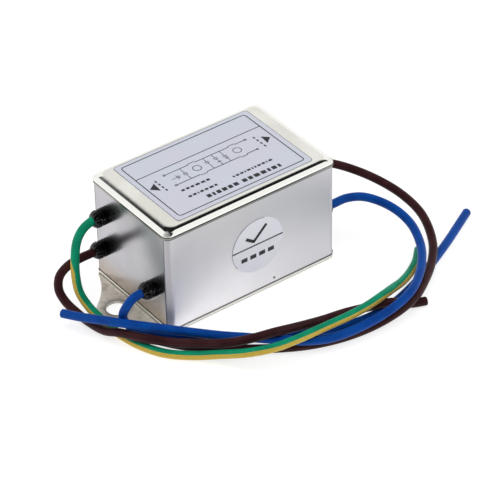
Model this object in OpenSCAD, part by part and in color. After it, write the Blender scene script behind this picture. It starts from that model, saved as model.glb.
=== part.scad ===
// Power line filter: a drawn metal can on a mounting plate, with five insulated leads
// Millimetres; Z is up from the mounting face, X runs from the line end to the load end

/* [Can] */
// Length of the can over its rim
can_l = 64; // [62:1:76]
// Width of the can over its rim
can_w = 40; // [40:1:50]
// Height of the can's top above the mounting face
can_h = 38; // [36:1:48]
// Sheet thickness of the can
can_wall = 0.6; // [0.4:0.1:0.8]
// Radius of the upright corners
corner_r = 2.5; // [2.4:0.1:4]
// Radius of the rounded top edge
top_r = 2.2; // [1.2:0.1:2.4]
// Height of the straight rim under the rounded edge
rim_h = 0.6; // [0.4:0.1:1.5]
// How far the walls stand back from the rim and the foot
wall_step = 0.3; // [0.2:0.05:0.4]
// Height of the foot on the long sides
side_foot_h = 1.4; // [1:0.1:2]
// Height of the foot's top edge on the ends
end_foot_h = 2.2; // [1.8:0.1:3]
// Place of the staking mark along the can
stake_x = 7.9; // [-15:0.1:15]
// Height of the staking mark
stake_z = 3.1; // [2.6:0.1:4]
// Diameter of the staking mark
stake_d = 0.8; // [0.6:0.1:1.2]
// Depth of the staking mark
stake_depth = 0.3; // [0.1:0.05:0.35]

/* [Mounting plate] */
// Thickness of the plate
plate_t = 1; // [0.8:0.1:1.2]
// Height of the flanges that stand inside the can
flange_h = 5; // [4:0.5:7]
// Outer bend radius of the flanges
bend_r = 1.6; // [1.4:0.1:2]
// Distance between the two ear holes
hole_pitch = 75; // [74:0.5:90]
// Diameter of an ear hole
hole_d = 7; // [4:0.1:8]
// Radius of an ear's rounded tip
ear_tip_r = 6.4; // [5.5:0.1:7]
// Radius of the hollow curves that narrow an ear
ear_flare_r = 28; // [20:1:36]
// Width of an ear at its root
ear_root_w = 36; // [30:1:37]
// How far the full width of an ear runs out past the can
ear_root_out = 0.3; // [0.1:0.1:1]

/* [Label and sticker] */
// Length of the type label
label_l = 51; // [40:1:56]
// Width of the type label
label_w = 34.4; // [28:0.2:34.4]
// Corner radius of the type label
label_r = 1.2; // [0.5:0.1:3]
// Thickness of the label's foil
label_t = 0.1; // [0.05:0.05:0.3]
// Offset of the label along the can
label_x = 0.2; // [-2:0.1:2]
// Offset of the label across the can
label_y = 0.4; // [0:0.1:0.4]
// Diameter of the inspection sticker
sticker_d = 19.3; // [12:0.1:22]
// Thickness of the sticker
sticker_t = 0.1; // [0.05:0.05:0.2]
// Place of the sticker along the can
sticker_x = 1.7; // [-15:0.1:15]
// Height of the sticker's centre
sticker_z = 18.6; // [14:0.1:22]

/* [Bushings] */
// Diameter of a bushing's ribbed body
bushing_d = 5.2; // [5.1:0.1:6.5]
// Length of a bushing outside the can
bushing_l = 5.3; // [4.6:0.1:8]
// Length of the tapered mouth of a bushing
mouth_l = 1.5; // [1:0.1:2]
// Diameter of a bushing's mouth
mouth_d = 3.7; // [3.5:0.1:4.5]
// Bore of a bushing
bore_d = 3; // [3:0.1:3.2]
// Diameter of a bushing's neck in the wall
neck_d = 4.5; // [4:0.1:4.8]
// Length of a bushing's snap collar inside the wall
snap_l = 1.5; // [1:0.1:2]
// Width of a bushing's rib
rib_w = 0.85; // [0.7:0.05:1]
// Width of the groove between two ribs
groove_w = 0.45; // [0.3:0.05:0.6]
// Depth of the groove between two ribs
groove_depth = 0.6; // [0.3:0.05:0.7]
// Width of the webs that join two ribs
web_w = 1.4; // [1:0.1:2]
// Distance between the live and neutral bushings
bushing_pitch = 25.6; // [22:0.2:27]
// Height of the live and neutral bushings
bushing_z = 14.3; // [12:0.1:16]
// Offset of the earth bushing across the can
earth_y = 12.2; // [8:0.1:13]
// Height of the earth bushing
earth_z = 26.7; // [22:0.1:30]

/* [Leads] */
// Diameter over a lead's insulation
lead_d = 2.8; // [2.2:0.1:2.9]
// Number of sides on a lead's tube
lead_sides = 8; // [8:1:12]

/* [Board and tray] */
// Thickness of the tray's floor
tray_floor = 0.8; // [0.6:0.1:1.2]
// Thickness of the tray's walls
tray_wall = 1.2; // [1:0.1:2]
// Height of the tray from the plate to the board
tray_h = 4; // [3.5:0.5:6]
// Thickness of the circuit board
board_t = 1.6; // [1.2:0.1:2]
// How far the board's edge stands back from the tray's
board_inset = 0.6; // [0.3:0.1:0.8]
// Diameter of the posts that carry the board
post_d = 4.5; // [4.2:0.1:5]
// Distance of a post from the board's end
post_inset = 3.6; // [3:0.1:4.5]
// Diameter of a board screw
screw_d = 3; // [2.5:0.5:3]
// Length of a board screw under its head
screw_l = 4.2; // [3.6:0.1:5]
// Depth of the screw hole in a post
post_hole_depth = 3.6; // [3.5:0.1:3.8]
// Diameter of a screw's head
head_d = 5.4; // [4.5:0.1:6]
// Height of a screw's head
head_h = 1.8; // [1.2:0.1:2.4]
// Width of the cross slot in a screw's head
slot_w = 0.7; // [0.5:0.1:1]
// Depth of the cross slot in a screw's head
slot_depth = 1; // [0.6:0.1:1.1]

/* [Chokes] */
// Outer diameter of a choke's ring core
core_od = 22; // [18:0.5:23]
// Inner diameter of a choke's ring core
core_window_d = 12; // [10:0.5:14]
// Length of a ring core along the can
core_l = 9; // [7:0.5:9.5]
// Radius of a ring core's edges
core_edge_r = 1; // [0.5:0.1:1.5]
// Diameter of the winding wire
wire_d = 0.9; // [0.6:0.1:1]
// Angle that one winding covers
winding_angle = 130; // [90:5:140]
// Thickness of the choke's base plate
choke_base_t = 1; // [0.8:0.1:1.5]
// Width of the choke's base plate
choke_base_w = 16; // [14:0.5:18]
// Width of the cradle under the core
cradle_w = 5; // [4:0.5:6]
// Thickness of the divider in the core's window
divider_t = 1; // [0.8:0.1:1.5]
// Distance between a winding's two legs across the can
winding_leg_y = 6.2; // [5.5:0.1:7]

/* [Capacitors and resistor] */
// Thickness of a film capacitor
film_t = 7; // [5:0.5:7]
// Width of a film capacitor
film_w = 18; // [15:0.5:20]
// Height of a film capacitor
film_h = 13; // [10:0.5:16]
// Radius of a film capacitor's corners
film_r = 0.6; // [0.3:0.1:1.5]
// Distance between a film capacitor's legs
film_pitch = 15; // [10:0.5:15]
// Diameter of a disc capacitor
disc_d = 8.5; // [7:0.5:9]
// Thickness of a disc capacitor
disc_t = 3.6; // [3:0.2:4]
// Distance between a disc capacitor's legs
disc_pitch = 5; // [4:0.5:5]
// Distance between the two disc capacitors
disc_spacing = 10.4; // [9.4:0.2:11]
// Height of a disc capacitor above the board
disc_lift = 1; // [0.5:0.1:2]
// Diameter of the bleed resistor
resistor_d = 3.2; // [2.4:0.1:3.6]
// Length of the bleed resistor
resistor_l = 8.5; // [6:0.5:10]
// Distance between the bleed resistor's legs
resistor_pitch = 12.5; // [11.5:0.5:15]
// Place of the bleed resistor along the can
resistor_x = -12; // [-13:0.5:-8]
// Distance from the bleed resistor's middle to the board's edge
resistor_edge = 2.6; // [2.2:0.1:2.8]
// Diameter of the components' legs
leg_d = 0.7; // [0.5:0.1:0.9]
// How far a leg stands out under the board
leg_out = 1.2; // [0.8:0.1:1.6]
// Gap between neighbours in the row of components
row_gap = 1; // [0.6:0.1:1]

/* [Clearances] */
// Gap on each side of a piece that slips into another
slip = 0.15; // [0.1:0.05:0.2]
// Gap on each side of a close fit
fit_gap = 0.05; // [0.02:0.01:0.08]

/* [Hidden] */
$fn = 64;
over = 1;

rim_z = can_h - top_r - rim_h;
skin_l = can_l - 2 * wall_step;
skin_w = can_w - 2 * wall_step;
straight_l = can_l - 2 * corner_r;
straight_w = can_w - 2 * corner_r;

plate_l = skin_l - 2 * can_wall - 2 * slip;
plate_w = skin_w - 2 * can_wall - 2 * slip;
notch_w = ear_root_w + 2 * slip;
notch_h = plate_t + slip;
hole_x = hole_pitch / 2;
// The hollow curve touches the tip's circle and runs through the corner of the ear's root
root_place = [can_l / 2 + ear_root_out, ear_root_w / 2];
root_from_hole = root_place - [hole_x, 0];
root_dist = norm(root_from_hole);
flare_reach = ear_flare_r + ear_tip_r;
flare_square = flare_reach * flare_reach - ear_flare_r * ear_flare_r;
flare_along = (flare_square + root_dist * root_dist) / (2 * root_dist);
flare_aside = sqrt(flare_reach * flare_reach - flare_along * flare_along);
flare_way = root_from_hole / root_dist;
flare_from_hole = flare_along * flare_way + flare_aside * [flare_way[1], -flare_way[0]];
flare_place = [hole_x, 0] + flare_from_hole;
touch_x = hole_x + flare_from_hole[0] * ear_tip_r / flare_reach;

// Each end's bushings: offset across the can, then height
live_place = [bushing_pitch / 2, bushing_z];
neutral_place = [-bushing_pitch / 2, bushing_z];
earth_place = [earth_y, earth_z];

tray_l = plate_l - 2 * slip;
tray_w = plate_w - 2 * plate_t - 2 * slip;
board_l = tray_l - 2 * board_inset;
board_w = tray_w - 2 * board_inset;
board_z = plate_t + tray_h;
board_top = board_z + board_t;
post_x = board_l / 2 - post_inset;

wound_gap = wire_d + fit_gap;
choke_l = core_l + 2 * wound_gap;
core_band = (core_od - core_window_d) / 2;
core_mid_r = (core_od + core_window_d) / 4;
core_z = board_top + choke_base_t + core_od / 2 + wound_gap + fit_gap;

// The row of components starts at the line end
row_l = 2 * film_t + 2 * choke_l + disc_t + 4 * row_gap;
film_line_x = film_t / 2 - row_l / 2;
choke_line_x = film_line_x + film_t / 2 + row_gap + choke_l / 2;
film_load_x = choke_line_x + choke_l / 2 + row_gap + film_t / 2;
choke_load_x = film_load_x + film_t / 2 + row_gap + choke_l / 2;
disc_x = choke_load_x + choke_l / 2 + row_gap + disc_t / 2;
disc_z = board_top + disc_lift + disc_d / 2;
resistor_y = resistor_edge - board_w / 2;
resistor_z = board_top + fit_gap + resistor_d / 2;

film_legs = [for (x = [film_line_x, film_load_x], side = [-1, 1]) [x, side * film_pitch / 2]];
disc_legs = [for (way = [-1, 1], side = [-1, 1]) [disc_x, way * disc_spacing / 2 + side * disc_pitch / 2]];
resistor_legs = [for (side = [-1, 1]) [resistor_x + side * resistor_pitch / 2, resistor_y]];
winding_leg_x = core_l / 2 + fit_gap + wire_d / 2;
choke_legs = [for (x = [choke_line_x, choke_load_x], end = [-1, 1], side = [-1, 1])
    [x + end * winding_leg_x, side * winding_leg_y]];

// Routes of the leads, from the board out through a bushing to the cut end
line_earth_route = [
    [-23.6, 16, 6.6], [-23.6, 16, 10], [-23.6, 15.4, 15.5], [-23.7, 13.9, 20.6], [-24.5, 13, 23.7],
    [-26.6, 12.4, 25.9], [-29.6, 12.2, 26.7], [-33, 12.2, 26.7], [-37, 12.2, 26.7], [-40.6, 12.2, 25],
    [-43, 12, 21.6], [-44.9, 10.6, 16.8], [-46, 9, 11.6], [-46.2, 7.2, 6.8], [-45.7, 3.6, 3.6],
    [-45.2, -1.4, 2.1], [-44.8, -7, 1.45], [-44.2, -13, 1.45], [-42.6, -19.8, 1.45], [-39, -27.2, 1.45],
    [-33.6, -33, 1.6], [-27.6, -39.8, 3.4], [-22.6, -46.6, 5.9], [-15.8, -50.8, 7.2], [-7.2, -52, 7.3],
    [2, -52.4, 7.3], [11.2, -52.8, 7.3], [19, -52.3, 7.3], [25.6, -51.2, 7.25], [31, -49.2, 6],
    [36.4, -46.8, 4.3], [42.6, -43.2, 2.6], [49.2, -38.6, 1.6], [53.6, -34.4, 1.45]
];
line_live_route = [
    [-23.6, 12.2, 6.6], [-23.6, 12.2, 8.4], [-24.4, 12.5, 11.3], [-26.6, 12.7, 13.5], [-29.6, 12.8, 14.3],
    [-33, 12.8, 14.3], [-37, 12.8, 14.3], [-42, 12.8, 14.3], [-46.4, 12.7, 13.6], [-49.8, 12.3, 11.4],
    [-51, 11.2, 7.6], [-50.4, 8.8, 4.2], [-49.2, 4.8, 2], [-48.6, -1.4, 1.6], [-47.8, -8.4, 2.5],
    [-45.9, -13.6, 4.1], [-41.8, -21, 4.6], [-36, -27.8, 4.5], [-30.2, -33, 4.6], [-25.2, -38.6, 5.8],
    [-19, -43.1, 7.2], [-11.2, -45.3, 7.35], [-3, -46.2, 6], [6, -46.8, 4.5], [13.2, -48, 4.35],
    [20, -50, 4.35], [25, -51.5, 4.4], [28, -52.5, 4], [31, -53.4, 2.9], [34, -54.3, 1.7],
    [38.8, -56, 1.45]
];
line_neutral_route = [
    [-23.6, -12.2, 6.6], [-23.6, -12.2, 8.4], [-24.4, -12.5, 11.3], [-26.6, -12.7, 13.5], [-29.6, -12.8, 14.3],
    [-33, -12.8, 14.3], [-37, -12.8, 14.3], [-40.2, -12.8, 13.6], [-42.4, -12.5, 11.3], [-43.1, -11.8, 8.8],
    [-42.7, -11.4, 6], [-41.3, -11.9, 3.5], [-38.9, -13.9, 1.8], [-35.4, -17.8, 1.45], [-32.6, -21.8, 1.45],
    [-29, -25.6, 1.45], [-23, -30.8, 1.45], [-15, -36.7, 1.45], [-6.6, -42, 1.45], [2, -46.6, 1.45],
    [10.5, -50, 1.45], [20, -51.4, 1.45], [29, -50.8, 1.45], [38, -48.4, 1.45], [47, -44.8, 1.45],
    [56, -40.6, 1.45], [64, -36.6, 1.45], [71.4, -32.6, 1.45], [78.4, -28.8, 1.45]
];
load_live_route = [
    [23.6, 12.2, 6.6], [23.6, 12.2, 8.4], [24.4, 12.5, 11.3], [26.6, 12.7, 13.5], [29.6, 12.8, 14.3],
    [33, 12.8, 14.3], [37, 12.8, 14.3], [42, 11.4, 14.5], [46.6, 8, 14.5], [50.4, 3.4, 14.3],
    [53.6, -2.4, 13.9], [56.8, -9.8, 12.9], [59.6, -17.6, 10.9], [60.8, -25, 8.4], [59.6, -31, 6.8],
    [55.6, -38.8, 5], [49.2, -45.6, 4.4], [42, -51, 4.4], [35.6, -54.9, 4.5], [31.4, -56.3, 4.4],
    [27, -56.8, 3.7], [21, -56.3, 2.4], [13.6, -55.2, 1.5], [5, -53.5, 1.45], [-4, -50.1, 1.45],
    [-13, -44.7, 1.45], [-21, -38.7, 1.45], [-27.8, -33, 1.45], [-33.3, -26.8, 1.45], [-37, -21.2, 1.45],
    [-39.2, -17.8, 1.45]
];
load_neutral_route = [
    [23.6, -12.2, 6.6], [23.6, -12.2, 8.4], [24.4, -12.5, 11.3], [26.6, -12.7, 13.5], [29.6, -12.8, 14.3],
    [33, -12.8, 14.3], [37, -12.8, 14.3], [41.6, -13, 14.3], [46.4, -14.9, 13.8], [50.4, -18.6, 12.4],
    [52.9, -24, 10.9], [53.4, -30, 9.4], [51.6, -36, 8.5], [48.4, -41.8, 7.9], [43.2, -47.8, 7.55],
    [37.6, -52.4, 7.4], [32.2, -55.5, 7.4], [25.6, -57, 6.6], [17.6, -57, 5.3], [9.4, -56.2, 4.5],
    [2.4, -54.8, 4.3], [-4, -51.6, 4.35], [-10.4, -46, 4.4], [-17, -39.4, 4.35], [-23, -33.8, 4.5],
    [-29, -28.2, 5.1], [-35, -23.3, 6.2], [-40.8, -18.5, 7.3], [-45.1, -13.9, 7.6], [-48.8, -7.6, 6.7],
    [-51.8, -1.5, 5.4], [-54.6, 4.6, 4.4]
];

// Flat shapes that several pieces share

module rounded_outline(l, w, r) {
    square([l - 2 * r, w], center = true);
    square([l, w - 2 * r], center = true);
    for (x = [-1, 1], y = [-1, 1])
        translate([x * (l / 2 - r), y * (w / 2 - r)]) circle(r = r);
}

// A rectangle that stands on the X axis, with its two lower corners rounded
module round_bottom(w, h, r) {
    translate([-w / 2, r]) square([w, h - r]);
    translate([r - w / 2, 0]) square([w - 2 * r, h]);
    for (side = [-1, 1])
        translate([side * (w / 2 - r), r]) circle(r = r);
}

// The can: half sections, from the middle out to the rim

module outer_section(reach, foot_h) {
    square([reach - wall_step, can_h - top_r]);
    square([reach, foot_h]);
    translate([0, rim_z]) square([reach, rim_h]);
    square([reach - top_r, can_h]);
    translate([reach - top_r, can_h - top_r]) intersection() {
        circle(r = top_r);
        square(top_r);
    }
}

module inner_section(reach, foot_h) {
    translate([0, -over]) square([reach - wall_step - can_wall, can_h - top_r + over]);
    translate([0, -over]) square([reach - can_wall, foot_h - wall_step + over]);
    translate([0, rim_z + wall_step]) square([reach - can_wall, rim_h - wall_step]);
    square([reach - top_r, can_h - can_wall]);
    translate([reach - top_r, can_h - top_r]) intersection() {
        circle(r = top_r - can_wall);
        square(top_r);
    }
}

module can_section(reach, foot_h, inside) {
    if (inside) inner_section(reach, foot_h);
    else outer_section(reach, foot_h);
}

module can_form(inside) {
    rotate([90, 0, 90]) linear_extrude(straight_l, center = true)
        for (side = [0, 1]) mirror([side, 0]) can_section(can_w / 2, side_foot_h, inside);
    rotate([90, 0, 0]) linear_extrude(straight_w, center = true)
        for (side = [0, 1]) mirror([side, 0]) can_section(can_l / 2, end_foot_h, inside);
    for (x = [0, 1], y = [0, 1])
        mirror([x, 0, 0]) mirror([0, y, 0])
            translate([straight_l / 2, straight_w / 2, 0])
                rotate_extrude(angle = 90) can_section(corner_r, side_foot_h, inside);
}

// Turns a shape that points along Z so that it points out of an end of the can
module at_end(end, place) {
    translate([end * skin_l / 2, place[0], place[1]]) rotate([0, end * 90, 0]) children();
}

module bushing_hole(end, place) {
    at_end(end, place) translate([0, 0, -can_wall - over])
        cylinder(d = neck_d + 2 * fit_gap, h = can_wall + 2 * over);
}

module can() {
    color([0.74, 0.74, 0.74]) difference() {
        can_form(false);
        can_form(true);
        for (place = [live_place, neutral_place, earth_place]) bushing_hole(-1, place);
        for (place = [live_place, neutral_place]) bushing_hole(1, place);
        for (end = [-1, 1])
            translate([end * can_l / 2 - over, -notch_w / 2, -over]) cube([2 * over, notch_w, notch_h + over]);
        for (side = [-1, 1])
            translate([stake_x, side * skin_w / 2, stake_z]) rotate([90, 0, 0])
                cylinder(d = stake_d, h = 2 * stake_depth, center = true);
    }
}

// The mounting plate

module ear_outline() {
    difference() {
        translate([plate_l / 2 - plate_t, -ear_root_w / 2])
            square([touch_x - plate_l / 2 + plate_t, ear_root_w]);
        for (side = [-1, 1]) translate([flare_place[0], side * flare_place[1]]) circle(r = ear_flare_r);
    }
    translate([hole_x, 0]) circle(r = ear_tip_r);
}

module base_plate() {
    color([0.72, 0.68, 0.64]) difference() {
        union() {
            rotate([90, 0, 90]) linear_extrude(plate_l, center = true) difference() {
                round_bottom(plate_w, flange_h, bend_r);
                translate([0, plate_t]) round_bottom(plate_w - 2 * plate_t, flange_h, bend_r - plate_t);
            }
            for (end = [0, 1]) mirror([end, 0, 0]) linear_extrude(plate_t) ear_outline();
        }
        for (end = [-1, 1])
            translate([end * hole_x, 0, -over]) cylinder(d = hole_d, h = plate_t + 2 * over);
    }
}

// Label and sticker

module type_label() {
    color([0.8, 0.82, 0.87]) translate([label_x, label_y, can_h])
        linear_extrude(label_t) rounded_outline(label_l, label_w, label_r);
}

module inspection_sticker() {
    color([0.84, 0.84, 0.87]) translate([sticker_x, -skin_w / 2, sticker_z])
        rotate([90, 0, 0]) cylinder(d = sticker_d, h = sticker_t);
}

// Bushings: a ribbed bend relief outside the wall, a neck in it and a snap collar inside

module bushing_profile() {
    neck_end = -can_wall - fit_gap;
    polygon([
        [bore_d / 2, neck_end - snap_l], [mouth_d / 2, neck_end - snap_l],
        [bushing_d / 2, neck_end - snap_l / 2], [bushing_d / 2, neck_end],
        [neck_d / 2, neck_end], [neck_d / 2, 0],
        [bushing_d / 2, 0], [bushing_d / 2, bushing_l - mouth_l],
        [mouth_d / 2, bushing_l], [bore_d / 2, bushing_l]
    ]);
}

module bushing_groove(turn) {
    difference() {
        cylinder(d = bushing_d + over, h = groove_w);
        translate([0, 0, -over]) cylinder(d = bushing_d - 2 * groove_depth, h = groove_w + 2 * over);
        rotate([0, 0, turn]) translate([-bushing_d, -web_w / 2, -over])
            cube([2 * bushing_d, web_w, groove_w + 2 * over]);
    }
}

module bushing(end, place) {
    color([0.08, 0.08, 0.09]) at_end(end, place) difference() {
        rotate_extrude() bushing_profile();
        for (i = [0:2])
            translate([0, 0, rib_w + i * (rib_w + groove_w)]) bushing_groove(90 * i);
    }
}

module bushing_line_earth() { bushing(-1, earth_place); }
module bushing_line_live() { bushing(-1, live_place); }
module bushing_line_neutral() { bushing(-1, neutral_place); }
module bushing_load_live() { bushing(1, live_place); }
module bushing_load_neutral() { bushing(1, neutral_place); }

// Leads: one tube swept along each route, its rings carried on without twist

function unit(v) = v / norm(v);
function forward(path, i) = i == len(path) - 1 ? unit(path[i] - path[i - 1]) : unit(path[i + 1] - path[i]);
function along(path, i) = i == 0 ? forward(path, 0) : unit(forward(path, i - 1) + forward(path, i));
function squared(side, way) = unit(side - (side * way) * way);
function carried(path, side, i = 0) = i == len(path) ? [] :
    let (now = squared(side, along(path, i))) concat([now], carried(path, now, i + 1));

module lead(path) {
    last = len(path) - 1;
    across = carried(path, [0, 1, 0]);
    points = [for (i = [0:last], k = [0:lead_sides - 1])
        let (turn = 360 * k / lead_sides, up = cross(along(path, i), across[i]))
        path[i] + lead_d / 2 * (cos(turn) * across[i] + sin(turn) * up)];
    walls = [for (i = [0:last - 1], k = [0:lead_sides - 1])
        let (a = i * lead_sides, next = (k + 1) % lead_sides)
        [a + k, a + lead_sides + k, a + lead_sides + next, a + next]];
    start = [for (k = [0:lead_sides - 1]) k];
    stop = [for (k = [0:lead_sides - 1]) last * lead_sides + lead_sides - 1 - k];
    polyhedron(points = points, faces = concat([start], walls, [stop]));
}

module lead_line_earth() { color([0.1, 0.58, 0.42]) lead(line_earth_route); }
module lead_line_live() { color([0.27, 0.16, 0.16]) lead(line_live_route); }
module lead_line_neutral() { color([0.08, 0.3, 0.65]) lead(line_neutral_route); }
module lead_load_live() { color([0.27, 0.16, 0.16]) lead(load_live_route); }
module lead_load_neutral() { color([0.08, 0.3, 0.65]) lead(load_neutral_route); }

// Tray, posts, board and screws

module insulating_tray() {
    color([0.9, 0.9, 0.86]) difference() {
        translate([0, 0, plate_t]) rotate([90, 0, 90]) linear_extrude(tray_l, center = true)
            round_bottom(tray_w, tray_h, bend_r - plate_t);
        translate([tray_wall - tray_l / 2, tray_wall - tray_w / 2, plate_t + tray_floor])
            cube([tray_l - 2 * tray_wall, tray_w - 2 * tray_wall, tray_h]);
        for (end = [-1, 1])
            translate([end * post_x, 0, 0]) cylinder(d = post_d + 2 * slip, h = plate_t + tray_floor + over);
    }
}

module board_posts() {
    color([0.75, 0.72, 0.6]) for (end = [-1, 1])
        translate([end * post_x, 0, plate_t]) difference() {
            cylinder(d = post_d, h = tray_h);
            translate([0, 0, tray_h - post_hole_depth]) cylinder(d = screw_d + 2 * fit_gap, h = tray_h);
        }
}

module board_screws() {
    color([0.7, 0.7, 0.7]) for (end = [-1, 1])
        translate([end * post_x, 0, board_top]) difference() {
            union() {
                translate([0, 0, -screw_l]) cylinder(d = screw_d, h = screw_l + head_h / 2);
                cylinder(d = head_d, h = head_h);
            }
            for (turn = [0, 90]) rotate([0, 0, turn])
                translate([-head_d / 4, -slot_w / 2, head_h - slot_depth]) cube([head_d / 2, slot_w, head_h]);
        }
}

module leg_hole(place, d) {
    translate([place[0], place[1], board_z - over]) cylinder(d = d + 2 * slip, h = board_t + 2 * over);
}

module circuit_board() {
    color([0.2, 0.42, 0.25]) difference() {
        translate([-board_l / 2, -board_w / 2, board_z]) cube([board_l, board_w, board_t]);
        for (end = [-1, 1]) leg_hole([end * post_x, 0], screw_d);
        for (place = concat(film_legs, disc_legs, resistor_legs)) leg_hole(place, leg_d);
        for (place = choke_legs) leg_hole(place, wire_d);
    }
}

// Chokes: a ring core on its side, two windings, a base that cradles it and a divider

module ring_core(x) {
    color([0.2, 0.3, 0.22]) translate([x, 0, core_z]) rotate([0, 90, 0])
        rotate_extrude() translate([core_mid_r, 0]) rounded_outline(core_band, core_l, core_edge_r);
}

module winding(x, side) {
    leg_foot = board_z - leg_out;
    color([0.72, 0.38, 0.2]) union() {
        translate([x, 0, core_z]) rotate([0, 90, 0]) rotate([0, 0, side * 90 - winding_angle / 2])
            rotate_extrude(angle = winding_angle) translate([core_mid_r, 0]) difference() {
                rounded_outline(core_band + 2 * wound_gap, choke_l, core_edge_r + wire_d);
                rounded_outline(core_band + 2 * fit_gap, core_l + 2 * fit_gap, core_edge_r);
            }
        for (end = [-1, 1])
            translate([x + end * winding_leg_x, side * winding_leg_y, leg_foot])
                cylinder(d = wire_d, h = core_z - core_od / 2 + core_band / 2 - leg_foot);
    }
}

module choke_base(x) {
    color([0.15, 0.15, 0.16]) difference() {
        translate([x, 0, board_top]) union() {
            translate([-choke_l / 2, -choke_base_w / 2, 0]) cube([choke_l, choke_base_w, choke_base_t]);
            translate([-core_l / 2, -cradle_w / 2, 0]) cube([core_l, cradle_w, choke_base_t + 2 * wound_gap]);
        }
        translate([x, 0, core_z]) rotate([0, 90, 0])
            cylinder(d = core_od + 2 * fit_gap, h = choke_l + over, center = true);
        for (end = [-1, 1], side = [-1, 1])
            translate([x + end * winding_leg_x, side * winding_leg_y, board_top - over])
                cylinder(d = wire_d + 2 * fit_gap, h = choke_base_t + 2 * over);
    }
}

module choke_divider(x) {
    window_r = core_window_d / 2 - fit_gap;
    reach = sqrt(window_r * window_r - divider_t * divider_t / 4);
    color([0.15, 0.15, 0.16]) translate([x, 0, core_z])
        cube([core_l, divider_t, 2 * reach], center = true);
}

module choke_core_line() { ring_core(choke_line_x); }
module choke_core_load() { ring_core(choke_load_x); }
module choke_base_line() { choke_base(choke_line_x); }
module choke_base_load() { choke_base(choke_load_x); }
module choke_divider_line() { choke_divider(choke_line_x); }
module choke_divider_load() { choke_divider(choke_load_x); }
module winding_line_live() { winding(choke_line_x, 1); }
module winding_line_neutral() { winding(choke_line_x, -1); }
module winding_load_live() { winding(choke_load_x, 1); }
module winding_load_neutral() { winding(choke_load_x, -1); }

// Capacitors and the bleed resistor, each with its legs through the board

module leg(place, top_z) {
    translate([place[0], place[1], board_z - leg_out]) cylinder(d = leg_d, h = top_z - board_z + leg_out);
}

module film_capacitor(x) {
    color([0.85, 0.72, 0.3]) union() {
        translate([x, 0, board_top]) linear_extrude(film_h) rounded_outline(film_t, film_w, film_r);
        for (side = [-1, 1]) leg([x, side * film_pitch / 2], board_top + film_h / 2);
    }
}

module disc_capacitor(side) {
    y = side * disc_spacing / 2;
    color([0.2, 0.35, 0.6]) union() {
        translate([disc_x, y, disc_z]) rotate([0, 90, 0]) rotate_extrude() intersection() {
            union() {
                square([disc_d - disc_t, disc_t], center = true);
                translate([(disc_d - disc_t) / 2, 0]) circle(d = disc_t);
            }
            translate([0, -disc_t / 2]) square([disc_d / 2, disc_t]);
        }
        for (way = [-1, 1]) leg([disc_x, y + way * disc_pitch / 2], disc_z);
    }
}

module bleed_resistor() {
    color([0.75, 0.62, 0.45]) union() {
        translate([resistor_x, resistor_y, resistor_z]) rotate([0, 90, 0]) {
            cylinder(d = resistor_d, h = resistor_l, center = true);
            cylinder(d = leg_d, h = resistor_pitch, center = true);
        }
        for (place = resistor_legs) {
            leg(place, resistor_z);
            translate([place[0], place[1], resistor_z]) sphere(d = leg_d);
        }
    }
}

module film_capacitor_line() { film_capacitor(film_line_x); }
module film_capacitor_load() { film_capacitor(film_load_x); }
module disc_capacitor_live() { disc_capacitor(1); }
module disc_capacitor_neutral() { disc_capacitor(-1); }

can();
base_plate();
type_label();
inspection_sticker();
bushing_line_earth();
bushing_line_live();
bushing_line_neutral();
bushing_load_live();
bushing_load_neutral();
lead_line_earth();
lead_line_live();
lead_line_neutral();
lead_load_live();
lead_load_neutral();
insulating_tray();
board_posts();
board_screws();
circuit_board();
choke_core_line();
choke_core_load();
choke_base_line();
choke_base_load();
choke_divider_line();
choke_divider_load();
winding_line_live();
winding_line_neutral();
winding_load_live();
winding_load_neutral();
film_capacitor_line();
film_capacitor_load();
disc_capacitor_live();
disc_capacitor_neutral();
bleed_resistor();
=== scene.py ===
from math import cos, pi, radians, sin, tau

import bmesh
import bpy
import numpy as np
from mathutils import Matrix, Vector


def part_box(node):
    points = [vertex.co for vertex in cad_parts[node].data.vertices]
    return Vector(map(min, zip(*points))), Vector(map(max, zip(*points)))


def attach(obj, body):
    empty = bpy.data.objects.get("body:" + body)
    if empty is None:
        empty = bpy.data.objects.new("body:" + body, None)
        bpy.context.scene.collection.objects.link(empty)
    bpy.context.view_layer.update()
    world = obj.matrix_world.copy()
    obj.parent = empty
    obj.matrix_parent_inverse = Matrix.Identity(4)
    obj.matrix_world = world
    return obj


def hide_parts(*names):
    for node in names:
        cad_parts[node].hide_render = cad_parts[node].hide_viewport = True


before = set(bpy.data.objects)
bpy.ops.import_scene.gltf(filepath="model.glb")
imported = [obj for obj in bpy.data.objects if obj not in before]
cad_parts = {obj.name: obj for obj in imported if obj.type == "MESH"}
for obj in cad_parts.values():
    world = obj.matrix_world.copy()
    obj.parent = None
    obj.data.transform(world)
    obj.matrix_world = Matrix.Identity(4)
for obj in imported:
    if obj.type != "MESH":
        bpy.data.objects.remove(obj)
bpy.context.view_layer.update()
mm = 0.001
print("frame loaded,", len(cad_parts), "CAD nodes")


def addObject(name, data):
    made = bpy.data.objects.new(name, data)
    bpy.context.scene.collection.objects.link(made)
    return made


# Camera at the photograph's angle: degrees, then millimetres

cameraView = {
    "azimuth": -36.18,
    "elevation": 37.15,
    "roll": -1.15,
    "distance": 817.5,
    "aimHeight": 15,
    "aimRight": 8.98,
    "aimUp": -5.62,
    "lens": 195.02,
}


def wayToCamera(view):
    azimuth, elevation = radians(view["azimuth"]), radians(view["elevation"])
    return Vector((sin(azimuth) * cos(elevation), -cos(azimuth) * cos(elevation), sin(elevation)))


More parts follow.
